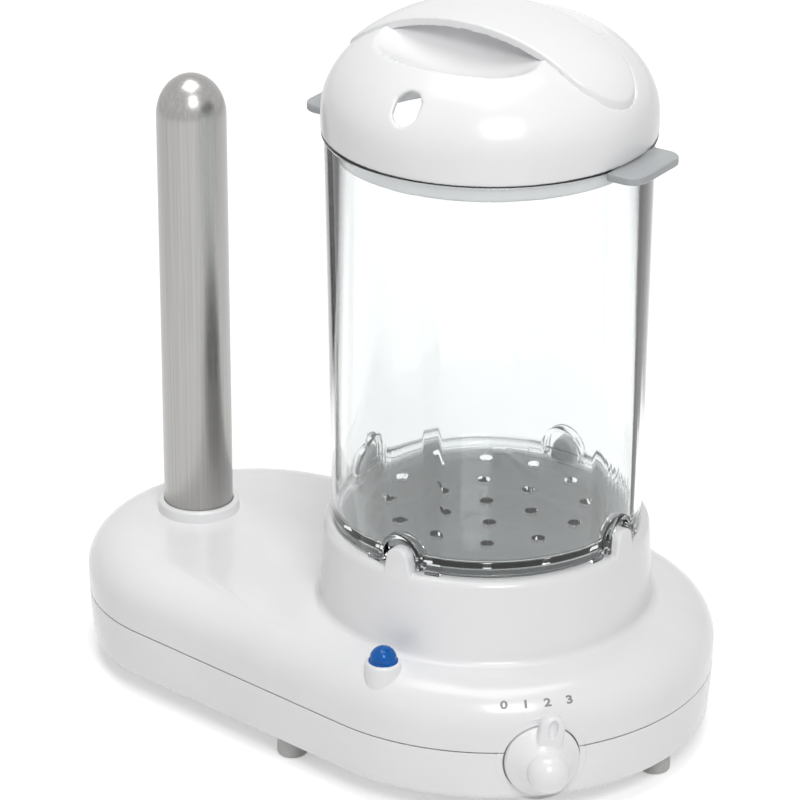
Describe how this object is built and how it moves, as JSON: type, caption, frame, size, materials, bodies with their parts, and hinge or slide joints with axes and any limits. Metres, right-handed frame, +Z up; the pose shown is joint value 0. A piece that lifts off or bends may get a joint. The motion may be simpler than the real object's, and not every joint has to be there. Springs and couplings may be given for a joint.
{
  "type": "hot dog maker",
  "caption": "Egg-shaped table-top steam cooker with a clear lift-off jar under a domed lid, an upright heated steel spike, a rotary selector and a pilot lamp.",
  "frame": {"origin": "centre of the base's outline at table level", "axes": "+X along the base from the spike to the jar, -Y to the front with the lamp, +Z up"},
  "size_m": [0.2564, 0.165, 0.2828],
  "materials": {
    "white_housing": "moulded white gloss",
    "white_lower": "moulded white gloss",
    "knob_white": "moulded white gloss",
    "lid_white": "moulded white gloss",
    "clear_jar": "clear moulded plastic, polished",
    "stainless": "brushed stainless tube",
    "dish_coat": "dark non-stick coating on aluminium",
    "steel": "zinc-plated steel",
    "aluminium": "plain",
    "foot_rubber": "pale grey moulded",
    "silicone": "red silicone",
    "lens_blue": "clear blue",
    "neon_glass": "lamp glass",
    "black_plastic": "dark moulded",
    "ceramic": "fired ceramic, stated as matte plastic",
    "brass": "plain"
  },
  "bodies": {
    "base": {"lower_housing": "white_lower", "upper_housing": "white_housing", "rubber_feet": "foot_rubber", "housing_screws": "steel", "heating_dish": "dish_coat", "dish_gasket": "silicone", "dish_clamp": "steel", "dish_studs": "steel", "dish_nuts": "steel", "heat_spreader": "aluminium", "heating_element": "steel", "thermostat": "black_plastic", "thermal_fuse": "ceramic", "spike_tube": "stainless", "spike_collar": "white_housing", "spike_heater": "steel", "heater_base": "ceramic", "heater_spacers": "ceramic", "spike_bracket": "steel", "spike_screws": "steel", "lamp_lens": "lens_blue", "indicator_lamp": "neon_glass", "switch_body": "black_plastic", "switch_nut": "steel", "cord_gland": "black_plastic", "terminal_block": "ceramic", "terminal_screws": "brass"},
    "knob": {"selector_knob": "knob_white", "switch_shaft": "steel"},
    "jar": {"jar": "clear_jar"},
    "lid": {"lid_shell": "lid_white", "lid_handle": "lid_white", "handle_screws": "steel"}
  },
  "joints": [
    {"name": "knob_turn", "type": "hinge", "parent": "base", "child": "knob", "pos_m": [0.1023, -0.05657, 0.0255], "axis": [-0.7071, 0.7071, 0], "range_deg": [-40, 20]},
    {"name": "jar_lift", "type": "slide", "parent": "base", "child": "jar", "axis": [0, 0, 1], "range_m": [0, 0.1]},
    {"name": "lid_lift", "type": "slide", "parent": "jar", "child": "lid", "axis": [0, 0, 1], "range_m": [0, 0.08]}
  ]
}
